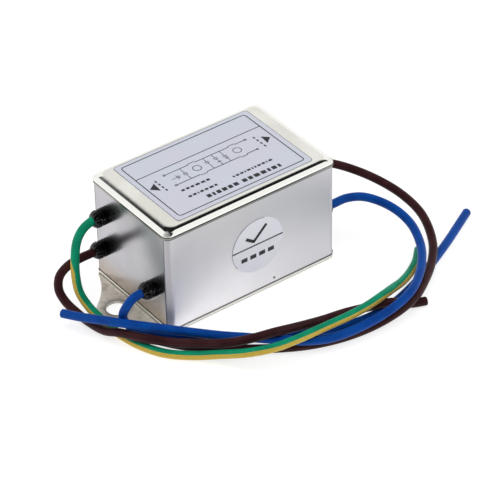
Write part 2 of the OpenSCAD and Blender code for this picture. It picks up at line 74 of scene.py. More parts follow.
def placeCamera(view):
    azimuth, roll = radians(view["azimuth"]), radians(view["roll"])
    back = wayToCamera(view)
    right = Vector((cos(azimuth), sin(azimuth), 0))
    up = back.cross(right)
    right, up = cos(roll) * right + sin(roll) * up, cos(roll) * up - sin(roll) * right
    aim = Vector((0, 0, view["aimHeight"]))
    spot = aim + view["aimRight"] * right + view["aimUp"] * up + view["distance"] * back
    camera = addObject("camera", bpy.data.cameras.new("camera"))
    camera.matrix_world = Matrix.Translation(spot * mm) @ Matrix((right, up, back)).transposed().to_4x4()
    camera.data.lens = view["lens"]
    camera.data.sensor_width = 36
    camera.data.clip_start, camera.data.clip_end = 0.05, 20
    bpy.context.scene.camera = camera


placeCamera(cameraView)
print("camera placed")


# Shader maths: a Signal is one socket, a Recipe fills one node tree


def operator(name):
    return lambda self, other: self.maths(name, self, other)


class Signal:
    def __init__(self, recipe, socket):
        self.recipe = recipe
        self.socket = socket

    def maths(self, operation, *values):
        return self.recipe.node("ShaderNodeMath", {"operation": operation}, dict(enumerate(values)))

    def __rsub__(self, other):
        return self.maths("SUBTRACT", other, self)

    def __abs__(self):
        return self.maths("ABSOLUTE", self)

    __add__ = __radd__ = operator("ADD")
    __sub__ = operator("SUBTRACT")
    __mul__ = __rmul__ = operator("MULTIPLY")
    __truediv__ = operator("DIVIDE")
    __mod__ = operator("FLOORED_MODULO")
    most = operator("MAXIMUM")


class Recipe:
    def __init__(self, tree):
        self.tree = tree

    def feed(self, inputs, wanted):
        for key, value in wanted.items():
            if isinstance(value, Signal):
                self.tree.links.new(value.socket, inputs[key])
            else:
                inputs[key].default_value = value

    def node(self, kind, settings=None, sockets=None, output=0):
        made = self.tree.nodes.new(kind)
        for key, value in (settings or {}).items():
            setattr(made, key, value)
        self.feed(made.inputs, sockets or {})
        return Signal(self, made.outputs[output])

    def scaled(self, vector, factors):
        return self.node("ShaderNodeVectorMath", {"operation": "MULTIPLY"}, {0: vector, 1: factors})

    def axis(self, name, vector=None):
        return self.node("ShaderNodeSeparateXYZ", sockets={0: vector or self.place}, output=name)

    def fade(self, value, low, high, start=0, stop=1):
        # goes smoothly from start to stop while the value goes from low to high
        wanted = {"Value": value, "From Min": low, "From Max": high, "To Min": start, "To Max": stop}
        return self.node("ShaderNodeMapRange", {"interpolation_type": "SMOOTHSTEP"}, wanted)

    def near(self, value, middle, reach):
        # 1 at the middle, 0 beyond the reach
        return 1 - self.fade(abs(value - middle), 0.4 * reach, reach)

    def blend(self, mask, first, second):
        # the colour sockets of the mix node: factor 0, colours 6 and 7, result 2
        return self.node("ShaderNodeMix", {"data_type": "RGBA"}, {0: mask, 6: first, 7: second}, 2)


class Finish(Recipe):
    def __init__(self, name):
        self.material = bpy.data.materials.new(name)
        self.material.use_nodes = True
        super().__init__(self.material.node_tree)
        self.shader = self.tree.nodes["Principled BSDF"]
        coords = self.node("ShaderNodeTexCoord", output="Object")
        self.place = self.scaled(coords, (1 / mm, 1 / mm, 1 / mm))  # the surface's place in millimetres

    def noise(self, scale, detail=3, stretch=(1, 1, 1), distortion=0, vector=None):
        spread = self.scaled(vector or self.place, stretch)
        wanted = {"Vector": spread, "Scale": scale, "Detail": detail, "Distortion": distortion}
        return self.node("ShaderNodeTexNoise", sockets=wanted)

    def bump(self, height, strength, depth):
        wanted = {"Height": height, "Strength": strength, "Distance": depth * mm}
        return self.node("ShaderNodeBump", sockets=wanted)

    def coat(self, **sockets):
        self.feed(self.shader.inputs, {key.replace("_", " "): value for key, value in sockets.items()})
        return self


def tint(code):
    # a screen colour as the linear one that the shader takes
    parts = [int(code[i : i + 2], 16) / 255 for i in (1, 3, 5)]
    return (*[part / 12.92 if part <= 0.04045 else ((part + 0.055) / 1.055) ** 2.4 for part in parts], 1)


# Pieces: a mesh with its finish, riding on the one body


def addPiece(name, mesh, finish, node=None):
    # a printed or added detail replaces no node
    piece = addObject(name, mesh)
    mesh.materials.clear()
    mesh.materials.append(finish.material)
    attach(piece, "root")
    if node:
        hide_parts(node)
    return piece


def meshOf(name, shape):
    mesh = bpy.data.meshes.new(name)
    shape.to_mesh(mesh)
    shape.free()
    return mesh


def shadeByAngle(mesh, limit):
    shape = bmesh.new()
    shape.from_mesh(mesh)
    for face in shape.faces:
        face.smooth = True
    for edge in shape.edges:
        edge.smooth = edge.is_manifold and edge.calc_face_angle(pi) < radians(limit)
    shape.to_mesh(mesh)
    shape.free()


def plainMesh(spare):
    # what an object's modifiers make of it; the object goes
    bpy.context.view_layer.update()
    spareNow = spare.evaluated_get(bpy.context.evaluated_depsgraph_get())
    result = bpy.data.meshes.new_from_object(spareNow)
    bpy.data.objects.remove(spare)
    return result


def baked(mesh, modifiers):
    spare = addObject("spare", mesh)
    for kind, settings in modifiers:
        modifier = spare.modifiers.new(kind.lower(), kind)
        for key, value in settings.items():
            setattr(modifier, key, value)
    return plainMesh(spare)


def copyOfNode(name, bevel, limit):
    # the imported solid, merged, its flats made whole again and its edges rounded
    shape = bmesh.new()
    shape.from_mesh(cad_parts[name].data)
    bmesh.ops.remove_doubles(shape, verts=shape.verts, dist=0.001 * mm)
    bmesh.ops.dissolve_limit(shape, angle_limit=radians(0.6), verts=shape.verts, edges=shape.edges)
    mesh = meshOf(name + "Copy", shape)
    shadeByAngle(mesh, limit)
    rounding = {"width": bevel * mm, "segments": 2, "limit_method": "ANGLE", "angle_limit": radians(limit)}
    rounding.update(harden_normals=False, use_clamp_overlap=True, miter_outer="MITER_ARC")
    return baked(mesh, [("BEVEL", rounding), ("WEIGHTED_NORMAL", {"keep_sharp": True})])


def roundedLoop(halfLength, halfWidth, radius, steps, height):
    # a level rounded rectangle, corner by corner from the one at +x and +y; its height may be a number
    # or follow how squarely it faces along x
    places = []
    for corner, (signX, signY) in enumerate(((1, 1), (-1, 1), (-1, -1), (1, -1))):
        for step in range(steps + 1):
            turn = (corner + step / steps) * pi / 2
            x = signX * (halfLength - radius) + radius * cos(turn)
            y = signY * (halfWidth - radius) + radius * sin(turn)
            places.append((x, y, height(abs(cos(turn))) if callable(height) else height))
    return places


def joinRings(shape, rings):
    # faces between each closed row of vertices and the next, all of the same count
    for first, second in zip(rings, rings[1:]):
        for i in range(len(first)):
            j = (i + 1) % len(first)
            shape.faces.new((first[i], first[j], second[j], second[i]))


def loopsToShape(loops, capped=True):
    shape = bmesh.new()
    rings = [[shape.verts.new([c * mm for c in place]) for place in loop] for loop in loops]
    joinRings(shape, rings)
    if capped:
        shape.faces.new(list(reversed(rings[0])))
        shape.faces.new(rings[-1])
    bmesh.ops.recalc_face_normals(shape, faces=shape.faces)
    return shape


# Leads: five cut lengths of stranded wire, each along its route in the CAD part

leads = {
    "sides": 24,
    "diameter": 2.8,
    "strandBundle": 1.5,
    "recess": 0.35,
    "endRound": 0.38,
    "boreEdge": 0.06,
    "perSpan": 9,
    "exitX": 37,
}

leadRoutes = {
    "lead_line_earth": [
        (-23.6, 16, 6.6), (-23.6, 16, 10), (-23.6, 15.4, 15.5), (-23.7, 13.9, 20.6), (-24.5, 13, 23.7),
        (-26.6, 12.4, 25.9), (-29.6, 12.2, 26.7), (-33, 12.2, 26.7), (-37, 12.2, 26.7), (-40.6, 12.2, 25),
        (-43, 12, 21.6), (-44.9, 10.6, 16.8), (-46, 9, 11.6), (-46.2, 7.2, 6.8), (-45.7, 3.6, 3.6),
        (-45.2, -1.4, 2.1), (-44.8, -7, 1.45), (-44.2, -13, 1.45), (-42.6, -19.8, 1.45), (-39, -27.2, 1.45),
        (-33.6, -33, 1.6), (-27.6, -39.8, 3.4), (-22.6, -46.6, 5.9), (-15.8, -50.8, 7.2), (-7.2, -52, 7.3),
        (2, -52.4, 7.3), (11.2, -52.8, 7.3), (19, -52.3, 7.3), (25.6, -51.2, 7.25), (31, -49.2, 6),
        (36.4, -46.8, 4.3), (42.6, -43.2, 2.6), (49.2, -38.6, 1.6), (53.6, -34.4, 1.45),
    ],
    "lead_line_live": [
        (-23.6, 12.2, 6.6), (-23.6, 12.2, 8.4), (-24.4, 12.5, 11.3), (-26.6, 12.7, 13.5), (-29.6, 12.8, 14.3),
        (-33, 12.8, 14.3), (-37, 12.8, 14.3), (-42, 12.8, 14.3), (-46.4, 12.7, 13.6), (-49.8, 12.3, 11.4),
        (-51, 11.2, 7.6), (-50.4, 8.8, 4.2), (-49.2, 4.8, 2), (-48.6, -1.4, 1.6), (-47.8, -8.4, 2.5),
        (-45.9, -13.6, 4.1), (-41.8, -21, 4.6), (-36, -27.8, 4.5), (-30.2, -33, 4.6), (-25.2, -38.6, 5.8),
        (-19, -43.1, 7.2), (-11.2, -45.3, 7.35), (-3, -46.2, 6), (6, -46.8, 4.5), (13.2, -48, 4.35),
        (20, -50, 4.35), (25, -51.5, 4.4), (28, -52.5, 4), (31, -53.4, 2.9), (34, -54.3, 1.7), (38.8, -56, 1.45),
    ],
    "lead_line_neutral": [
        (-23.6, -12.2, 6.6), (-23.6, -12.2, 8.4), (-24.4, -12.5, 11.3), (-26.6, -12.7, 13.5),
        (-29.6, -12.8, 14.3), (-33, -12.8, 14.3), (-37, -12.8, 14.3), (-40.2, -12.8, 13.6), (-42.4, -12.5, 11.3),
        (-43.1, -11.8, 8.8), (-42.7, -11.4, 6), (-41.3, -11.9, 3.5), (-38.9, -13.9, 1.8), (-35.4, -17.8, 1.45),
        (-32.6, -21.8, 1.45), (-29, -25.6, 1.45), (-23, -30.8, 1.45), (-15, -36.7, 1.45), (-6.6, -42, 1.45),
        (2, -46.6, 1.45), (10.5, -50, 1.45), (20, -51.4, 1.45), (29, -50.8, 1.45), (38, -48.4, 1.45),
        (47, -44.8, 1.45), (56, -40.6, 1.45), (64, -36.6, 1.45), (71.4, -32.6, 1.45), (78.4, -28.8, 1.45),
    ],
    "lead_load_live": [
        (23.6, 12.2, 6.6), (23.6, 12.2, 8.4), (24.4, 12.5, 11.3), (26.6, 12.7, 13.5), (29.6, 12.8, 14.3),
        (33, 12.8, 14.3), (37, 12.8, 14.3), (42, 11.4, 14.5), (46.6, 8, 14.5), (50.4, 3.4, 14.3),
        (53.6, -2.4, 13.9), (56.8, -9.8, 12.9), (59.6, -17.6, 10.9), (60.8, -25, 8.4), (59.6, -31, 6.8),
        (55.6, -38.8, 5), (49.2, -45.6, 4.4), (42, -51, 4.4), (35.6, -54.9, 4.5), (31.4, -56.3, 4.4),
        (27, -56.8, 3.7), (21, -56.3, 2.4), (13.6, -55.2, 1.5), (5, -53.5, 1.45), (-4, -50.1, 1.45),
        (-13, -44.7, 1.45), (-21, -38.7, 1.45), (-27.8, -33, 1.45), (-33.3, -26.8, 1.45), (-37, -21.2, 1.45),
        (-39.2, -17.8, 1.45),
    ],
    "lead_load_neutral": [
        (23.6, -12.2, 6.6), (23.6, -12.2, 8.4), (24.4, -12.5, 11.3), (26.6, -12.7, 13.5), (29.6, -12.8, 14.3),
        (33, -12.8, 14.3), (37, -12.8, 14.3), (41.6, -13, 14.3), (46.4, -14.9, 13.8), (50.4, -18.6, 12.4),
        (52.9, -24, 10.9), (53.4, -30, 9.4), (51.6, -36, 8.5), (48.4, -41.8, 7.9), (43.2, -47.8, 7.55),
        (37.6, -52.4, 7.4), (32.2, -55.5, 7.4), (25.6, -57, 6.6), (17.6, -57, 5.3), (9.4, -56.2, 4.5),
        (2.4, -54.8, 4.3), (-4, -51.6, 4.35), (-10.4, -46, 4.4), (-17, -39.4, 4.35), (-23, -33.8, 4.5),
        (-29, -28.2, 5.1), (-35, -23.3, 6.2), (-40.8, -18.5, 7.3), (-45.1, -13.9, 7.6), (-48.8, -7.6, 6.7),
        (-51.8, -1.5, 5.4), (-54.6, 4.6, 4.4),
    ],
}


def smoothRoute(route, perSpan):
    # centripetal Catmull-Rom through every point of the route
    knots = np.array(route, float)
    knots = np.vstack([2 * knots[0] - knots[1], knots, 2 * knots[-1] - knots[-2]])
    line = []
    for i in range(1, len(knots) - 2):
        p = knots[i - 1 : i + 3]
        t = np.concatenate([[0], np.cumsum(np.linalg.norm(np.diff(p, axis=0), axis=1) ** 0.5)])
        for step in range(perSpan):
            u = t[1] + (t[2] - t[1]) * step / perSpan
            a = [((t[k + 1] - u) * p[k] + (u - t[k]) * p[k + 1]) / (t[k + 1] - t[k]) for k in range(3)]
            b = [((t[k + 2] - u) * a[k] + (u - t[k]) * a[k + 1]) / (t[k + 2] - t[k]) for k in range(2)]
            line.append(((t[2] - u) * b[0] + (u - t[1]) * b[1]) / (t[2] - t[1]))
    return np.array(line + [knots[-2]])


def waysAlong(line):
    steps = np.diff(line, axis=0)
    steps /= np.linalg.norm(steps, axis=1)[:, None]
    ways = np.vstack([steps[:1], steps[:-1] + steps[1:], steps[-1:]])
    return ways / np.linalg.norm(ways, axis=1)[:, None]


def leadMesh(name, line, settings, facing):
    # a tube whose end is cut square, with the strands' hole in it; its UV map runs round and along it
    sides, radius = settings["sides"], settings["diameter"] / 2
    bore, recess = settings["strandBundle"] / 2, settings["recess"]
    edge, boreEdge = settings["endRound"], settings["boreEdge"]
    ways = waysAlong(line)
    rings = [(middle, way, radius) for middle, way in zip(line, ways)]
    end, way = line[-1], ways[-1]
    rings[-1] = (end - edge * way, way, radius)
    for turn in (30, 60, 90):
        back = edge * (1 - sin(radians(turn)))
        rings.append((end - back * way, way, radius - edge * (1 - cos(radians(turn)))))
    rings.append((end, way, bore + boreEdge))
    rings.append((end - boreEdge * way, way, bore))
    rings.append((end - recess * way, way, bore))
    shape = bmesh.new()
    wrap = shape.loops.layers.uv.new("wrap")
    run, built, reach = 0, [], []
    for i, (middle, along, r) in enumerate(rings):
        across = np.array(facing, float)
        across -= across.dot(along) * along
        across /= np.linalg.norm(across)
        up = np.cross(along, across)
        if i:
            run += np.linalg.norm(middle - rings[i - 1][0])
        turns = [tau * k / sides for k in range(sides)]
        built.append([shape.verts.new((middle + r * (cos(t) * across + sin(t) * up)) * mm) for t in turns])
        reach.append(run)
    for i in range(len(built) - 1):
        for k in range(sides):
            n = (k + 1) % sides
            face = shape.faces.new((built[i][k], built[i][n], built[i + 1][n], built[i + 1][k]))
            face.smooth = True
            corners = ((k, i), (k + 1, i), (k + 1, i + 1), (k, i + 1))
            for loop, (around, level) in zip(face.loops, corners):
                loop[wrap].uv = (around / sides, reach[level])
    shape.faces.new(list(reversed(built[0])))
    shape.faces.new(built[-1])
    bmesh.ops.recalc_face_normals(shape, faces=shape.faces)
    return meshOf(name, shape)


def insulation(name, colour, shade):
    # extruded PVC: faint draw lines along it, a fine grain and a few rubbed places
    finish = Finish(name)
    wrap = finish.node("ShaderNodeUVMap", {"uv_map": "wrap"})
    around, along = finish.axis("X", wrap), finish.axis("Y", wrap)
    lines = finish.noise(1, 2, (90, 0.12, 1), vector=wrap)
    grain = finish.noise(5, 3)
    cloud = finish.noise(0.22, 2)
    base = finish.blend(finish.fade(cloud, 0.35, 0.7), tint(colour), tint(shade))
    rubbed = finish.fade(finish.noise(0.9, 4, (1, 1, 1), 0.6), 0.62, 0.8)
    roughness = 0.38 + 0.1 * (lines - 0.5) + 0.12 * rubbed
    height = 0.5 * lines + 0.5 * grain
    finish.coat(Base_Color=base, Roughness=roughness, Normal=finish.bump(height, 0.35, 0.03))
    finish.coat(Specular_IOR_Level=0.1)
    return finish, around, along, base


def earthInsulation():
    # two stripes, green over the wider part and yellow over the rest
    finish, around, along, plain = insulation("earthInsulation", "#0f9670", "#0c8663")
    wander = 0.02 * (finish.noise(0.15, 1) - 0.5)
    # the lead is twisted: its yellow stripe faces away by the bushing, then outwards, then down and
    # forwards (where along the lead it turns, in millimetres, and by how much of a turn)
    rolled = finish.fade(along, 38, 50, -0.66, -0.19)
    rolled += finish.fade(along, 51, 66, 0, 0.16) + finish.fade(along, 165, 188, 0, 0.13)
    turned = abs((around + wander + rolled) % 1 - 0.5)
    yellow = finish.fade(turned, 0.3, 0.32)
    speckle = finish.fade(finish.noise(1.4, 3), 0.3, 0.8)
    bright = finish.blend(speckle, tint("#d3b650"), tint("#c2a546"))
    return finish.coat(Base_Color=finish.blend(yellow, plain, bright))


liveInsulation = insulation("liveInsulation", "#3e2023", "#32171a")[0]
neutralInsulation = insulation("neutralInsulation", "#07499f", "#063f90")[0]
earthFinish = earthInsulation()

leadFinishes = {
    "lead_line_earth": (earthFinish, "earth_insulation", (-0.57, -0.78, -0.28), 0.2015),
    "lead_line_live": (liveInsulation, "live_insulation", (0, 0, 1), 0.1654),
    "lead_line_neutral": (neutralInsulation, "neutral_insulation", (0, 0, 1), 0.1723),
    "lead_load_live": (liveInsulation, "live_insulation", (0, 0, 1), 0.1974),
    "lead_load_neutral": (neutralInsulation, "neutral_insulation", (0, 0, 1), 0.1956),
}

leadEnds = []
for node, route in leadRoutes.items():
    finish, slot, facing, length = leadFinishes[node]
    line = smoothRoute(route, leads["perSpan"])
    mesh = leadMesh(node, line, leads, facing)
    shadeByAngle(mesh, 50)
    lead = addPiece(node.replace("lead_", "lead."), mesh, finish, node)
    atMouth = next(point for point in route if abs(point[0]) == leads["exitX"])
    exitPoint = tuple(c * mm for c in atMouth)
    leadEnds.append((lead, line[-1], waysAlong(line)[-1]))
print("leads made")


# Strands in each cut end, put there by Geometry Nodes

strands = {
    "diameter": 0.28,
    "length": 0.5,
    "rings": 2,
    "sides": 7,
    "sunk": 0.02,
    "twist": 0.3,
    "unevenness": 0.05,
}


def bareCopper():
    finish = Finish("strandCopper")
    drawn = finish.noise(6, 3)
    base = finish.blend(drawn, tint("#c98a5a"), tint("#a8683f"))
    finish.coat(Base_Color=base, Metallic=1, Roughness=0.3 + 0.15 * drawn)
    return finish.coat(Normal=finish.bump(drawn, 0.3, 0.02))


def strandTree(material):
    # sets a short wire on each point, along the way that the point holds
    tree = bpy.data.node_groups.new("strandsOnPoints", "GeometryNodeTree")
    inputs = {"Geometry": "Geometry", "Strand radius": "Float", "Strand length": "Float", "Strand sides": "Int"}
    for name, kind in inputs.items():
        tree.interface.new_socket(name, in_out="INPUT", socket_type="NodeSocket" + kind)
    tree.interface.new_socket("Geometry", in_out="OUTPUT", socket_type="NodeSocketGeometry")
    add = tree.nodes.new
    start, end = add("NodeGroupInput"), add("NodeGroupOutput")
    wire, way = add("GeometryNodeMeshCylinder"), add("GeometryNodeInputNamedAttribute")
    turn, onPoints = add("FunctionNodeAlignRotationToVector"), add("GeometryNodeInstanceOnPoints")
    realize, paint = add("GeometryNodeRealizeInstances"), add("GeometryNodeSetMaterial")
    way.data_type = "FLOAT_VECTOR"
    way.inputs["Name"].default_value = "way"
    turn.axis = "Z"
    paint.inputs["Material"].default_value = material
    joins = (
        (start, "Strand radius", wire, "Radius"),
        (start, "Strand length", wire, "Depth"),
        (start, "Strand sides", wire, "Vertices"),
        (way, "Attribute", turn, "Vector"),
        (start, "Geometry", onPoints, "Points"),
        (wire, "Mesh", onPoints, "Instance"),
        (turn, "Rotation", onPoints, "Rotation"),
        (onPoints, "Instances", realize, "Geometry"),
        (realize, "Geometry", paint, "Geometry"),
        (paint, "Geometry", end, "Geometry"),
    )
    for source, outlet, target, inlet in joins:
        tree.links.new(source.outputs[outlet], target.inputs[inlet])
    return tree


def grownMesh(name, mesh, tree, inputs):
    # what a Geometry Nodes tree makes of a mesh
    spare = addObject("spare", mesh)
    modifier = spare.modifiers.new("grow", "NODES")
    modifier.node_group = tree
    for item in tree.interface.items_tree:
        if item.item_type == "SOCKET" and item.in_out == "INPUT" and item.name in inputs:
            modifier[item.identifier] = inputs[item.name]
    result = plainMesh(spare)
    result.name = name
    return result


def strandPoints(name, end, way, settings, recess):
    # one point in the middle and rings of six and twelve round it, a little uneven as a cut bundle is
    side = Vector(way).orthogonal().normalized()
    up = Vector(way).cross(side)
    pitch = settings["diameter"]
    middle = Vector(end) - Vector(way) * (recess + settings["sunk"])
    places = [middle]
    for ring in range(1, settings["rings"] + 1):
        for k in range(6 * ring):
            turn = tau * k / (6 * ring) + settings["twist"] * ring
            shift = settings["unevenness"] * sin(5 * k + ring)
            places.append(middle + pitch * ring * (cos(turn) * side + sin(turn) * up) + shift * Vector(way))
    mesh = bpy.data.meshes.new(name)
    mesh.from_pydata([place * mm for place in places], [], [])
    ways = mesh.attributes.new("way", "FLOAT_VECTOR", "POINT")
    for item in ways.data:
        item.vector = way
    return mesh


strandFinish = bareCopper()
tree = strandTree(strandFinish.material)
strandInputs = {
    "Strand radius": strands["diameter"] / 2 * mm,
    "Strand length": strands["length"] * mm,
    "Strand sides": strands["sides"],
}
for lead, end, way in leadEnds:
    points = strandPoints("strandPoints", end, way, strands, leads["recess"])
    mesh = grownMesh("strands", points, tree, strandInputs)
    shadeByAngle(mesh, 60)
    addPiece(lead.name.replace("lead.", "strands."), mesh, strandFinish)
print("strands made")


# Can: a drawn sheet-metal box with a rim, a foot, holes for the bushings and notches for the ears

can = {
    "length": 64,
    "width": 40,
    "height": 38,
    "wall": 0.6,
    "cornerRadius": 2.5,
    "topRise": 1.8,
    "sideReach": 2.2,
    "endReach": 3.2,
    "rimHeight": 1,
    "wallStep": 0.3,
    "sideFoot": 1.4,
    "endFoot": 2.2,
    "beadHeight": 0.94,
    "lipRadius": 0.14,
    # points of the edges: how far back from the rim's face, and how far above the edge's own line
    "grooveEdge": ((0.07, -0.05), (0.07, -0.14), (0, -0.2)),
    "underRim": ((0.26, -0.03), (0.3, -0.12)),
    "footEdge": ((0.3, 0.16), (0.25, 0.05), (0.15, 0), (0.05, -0.1), (0, -0.26)),
    "beadEdge": ((0, 0.3), (0.05, 0.14), (0.14, 0.05), (0.17, 0)),
    "lowerEdge": ((0.17, 0.12), (0.21, 0.04), (0.29, 0)),
    "innerBend": 1.6,
    "innerDrop": 0.6,
    "roundSteps": 16,
    "innerSteps": 5,
    "cornerSteps": 12,
    "holeDiameter": 4.6,
    "holes": {
        "line_live": (-1, 12.8, 14.3),
        "line_neutral": (-1, -12.8, 14.3),
        "line_earth": (-1, 12.2, 26.7),
        "load_live": (1, 12.8, 14.3),
        "load_neutral": (1, -12.8, 14.3),
    },
    "notchWidth": 36.3,
    "notchHeight": 1.15,
    "stakeX": 7.9,
    "stakeZ": 3.1,
    "stakeDiameter": 0.8,
    "stakeDepth": 0.3,
}


def canShape(c):
    # the outside from the top down to the lower edge, then the inside back up
    rimTop = c["height"] - c["topRise"]
    rimLow, lip = rimTop - c["rimHeight"], c["lipRadius"]
    inner, innerTop = c["wallStep"] + c["wall"], rimTop - c["innerDrop"]
    innerRise = c["topRise"] - c["wall"] + c["innerDrop"]
    loops = []

    def ring(insetX, insetY, height, radius):
        halfLength, halfWidth = c["length"] / 2 - insetX, c["width"] / 2 - insetY
        loops.append(roundedLoop(halfLength, halfWidth, radius, c["cornerSteps"], height))

    def footTop(lift):
        # the foot is higher at the ends than along the sides
        climb = c["endFoot"] - c["sideFoot"]
        return lambda facing: c["sideFoot"] + climb * min(1, max(0, 1.6 * facing - 0.3)) + lift

    for t in range(c["roundSteps"] + 1):
        # the top's rounding reaches further in over the ends than over the long sides
        turn = t * pi / 2 / c["roundSteps"]
        inward = 1 - sin(turn)
        height = rimTop + c["topRise"] * cos(turn)
        ring(c["endReach"] * inward, c["sideReach"] * inward, height, c["cornerRadius"])
    # each is how far it stands back from the rim's face, and its height
    profile = [(inset, rimTop + lift) for inset, lift in c["grooveEdge"]]
    profile += [(0, rimLow + lip), (0.3 * lip, rimLow + 0.3 * lip), (lip, rimLow)]
    profile += [(inset, rimLow + lift) for inset, lift in c["underRim"]]
    profile += [(inset, footTop(lift)) for inset, lift in c["footEdge"]]
    profile += [(inset, footTop(lift - c["beadHeight"])) for inset, lift in c["beadEdge"]]
    profile += [*c["lowerEdge"], (inner - 0.1, 0), (inner, 0.1), (inner, innerTop)]
    for t in range(1, c["innerSteps"] + 1):
        turn = t * pi / 2 / c["innerSteps"]
        profile.append((inner + c["innerBend"] * (1 - cos(turn)), innerTop + innerRise * sin(turn)))
    for inset, height in profile:
        ring(inset, inset, height, max(c["cornerRadius"] - inset, 0.3))
    return loopsToShape(loops)


def canCutters(c):
    # drills for the bushings, a block for each notch, and a ball for each staking mark
    shape = bmesh.new()
    r = c["holeDiameter"] / 2 * mm
    drill = {"cap_ends": True, "segments": 40, "radius1": r, "radius2": r, "depth": 3 * mm}
    level = Matrix.Rotation(pi / 2, 4, "Y")
    for end in (-1, 1):
        for y, z in [(y, z) for side, y, z in c["holes"].values() if side == end]:
            where = Matrix.Translation(Vector((end * c["length"] / 2, y, z)) * mm)
            bmesh.ops.create_cone(shape, matrix=where @ level, **drill)
        size = Matrix.Diagonal(Vector((4, c["notchWidth"], 2 * c["notchHeight"], 1)) * mm)
        size[3][3] = 1
        where = Matrix.Translation(Vector((end * c["length"] / 2, 0, 0)) * mm)
        bmesh.ops.create_cube(shape, size=1, matrix=where @ size)
    for side in (-1, 1):
        r = c["stakeDiameter"] / 2
        ball = (r * r + c["stakeDepth"] ** 2) / (2 * c["stakeDepth"])
        y = side * (c["width"] / 2 - c["wallStep"] + ball - c["stakeDepth"])
        where = Matrix.Translation(Vector((c["stakeX"], y, c["stakeZ"])) * mm)
        bmesh.ops.create_uvsphere(shape, u_segments=20, v_segments=12, radius=ball * mm, matrix=where)
    return shape


def carved(mesh, cutters):
    cutter = addObject("cutters", meshOf("cutters", cutters))
    cut = {"operation": "DIFFERENCE", "solver": "EXACT", "object": cutter, "use_self": True}
    result = baked(mesh, [("BOOLEAN", cut)])
    bpy.data.objects.remove(cutter)
    return result


def canSteel(c):
    # the can's sheet by place: pale satin long sides with painted light, lighter low down and towards the line
    # end;
    # smoother grey ends, warmer and darker towards the bottom; a grey rim band; a bright rounding and top; a
    # foot painted near white as a painted highlight; and thin dark lines of painted shade in its grooves, along
    # its bends and in the staking mark
    finish = Finish("canSteel")
    x, wide, z = finish.axis("X"), abs(finish.axis("Y")), finish.axis("Z")
    endWall, sideWall = c["length"] / 2 - c["wallStep"], c["width"] / 2 - c["wallStep"]
    rimTop = c["height"] - c["topRise"]
    rimLow = rimTop - c["rimHeight"]
    ends = finish.fade(abs(x), endWall - 0.4, endWall - 0.05)
    rim = finish.fade(z, rimLow - 0.1, rimLow + 0.1)
    rounding = finish.fade(z, rimTop - 0.1, rimTop + 0.1)
    top = finish.fade(z, c["height"] - 0.1, c["height"] - 0.01)
    corner = finish.fade(abs(x), endWall - 2.1, endWall - 0.9)
    corner = corner * finish.fade(wide, sideWall - 2.1, sideWall - 1.3)
    footTop = c["sideFoot"] + (c["endFoot"] - c["sideFoot"]) * ends
    foot = finish.fade(footTop - z, 0.02, 0.16)

    cloud = finish.fade(finish.noise(0.07, 3, (1, 1, 1), 0.5), 0.3, 0.7)
    grain = finish.noise(7, 4)
    hair = finish.fade(finish.noise(1, 2, (0.25, 6, 6), 1.5), 0.7, 0.74)
    wavy = finish.noise(0.12, 2)

    # painted light and reflection: the long sides lighter low down and towards the line end
    along = finish.fade(x, -28, 32)
    paintedLowSides = finish.blend(along, tint("#fbf9fb"), tint("#d2d1d6"))
    paintedHighSides = finish.blend(along, tint("#e2e0e3"), tint("#d8d6d9"))
    sides = finish.blend(finish.fade(z, 0, 35), paintedLowSides, paintedHighSides)
    endWalls = finish.blend(finish.fade(z, 2, 13), tint("#a89a8c"), tint("#b6b4b9"))
    base = finish.blend(0.25 * cloud, finish.blend(ends, sides, endWalls), tint("#d6d4d6"))
    base = finish.blend(0.8 * corner, base, tint("#d9d7dc"))
    base = finish.blend(rim, base, tint("#aeaaa5"))
    base = finish.blend(rounding, base, tint("#f4f4f0"))
    base = finish.blend(top, base, finish.blend(cloud, tint("#eeeee8"), tint("#e2e1da")))
    # painted highlight: the foot near white
    base = finish.blend(foot, base, tint("#f3f1ea"))

    # painted shade: thin dark lines along the corners' bends, along the far edge, in the staking mark, below the
    # rounding, under the rim, above the foot and at the bead
    cornerBendShade = finish.near(wide, sideWall - 1.75, 0.36) * ends * finish.fade(z, rimLow - 0.6, rimLow - 0.3, 1, 0)
    farEdgeShade = finish.near(x, endWall - 0.4, 0.26) * finish.fade(wide, sideWall - 1.5, sideWall - 1.1)
    stakeShade = finish.near(x, c["stakeX"], 0.5) * finish.near(z, c["stakeZ"], 0.5)
    stakeShade = stakeShade * finish.fade(wide, sideWall - 0.7, sideWall - 0.5)
    lines = (0.75 * cornerBendShade).most(0.9 * farEdgeShade).most(stakeShade)
    for middle, reach in ((rimTop - 0.1, 0.3), (rimLow - 0.06, 0.3), (footTop + 0.12, 0.22)):
        lines = lines.most(finish.near(z, middle, reach))
    lines = lines.most(finish.near(footTop - z, c["beadHeight"], 0.16))
    # the painted shade lines, laid on dark
    base = finish.blend(0.85 * lines, base, tint("#2b2926"))

    satin = finish.fade(ends, 0, 1, 0.44, 0.25)
    polish = finish.fade(z, rimLow - 0.1, rimTop + 0.1)
    roughness = satin * (1 - polish) + 0.08 * polish + 0.05 * (grain - 0.5) + 0.05 * hair
    roughness += 0.14 * foot + 0.1 * top + 0.4 * corner
    metallic = 1 - corner * finish.fade(z, 3, 16, 0.7, 0.2)  # the corners less metallic, most so low down, so they reflect the leads less
    relief = 0.05 * grain + 0.02 * hair + wavy
    finish.coat(Base_Color=base, Metallic=metallic, Roughness=roughness)
    return finish.coat(Normal=finish.bump(relief, 0.4, 0.05))


canMesh = carved(meshOf("can", canShape(can)), canCutters(can))
shadeByAngle(canMesh, 32)
canMesh = baked(canMesh, [("WEIGHTED_NORMAL", {"keep_sharp": True})])
addPiece("canShell", canMesh, canSteel(can), "can")
print("can made")


# Mounting plate, with its ears

plate = {
    "edgeRound": 0.12,
    "holeX": 37.5,
}


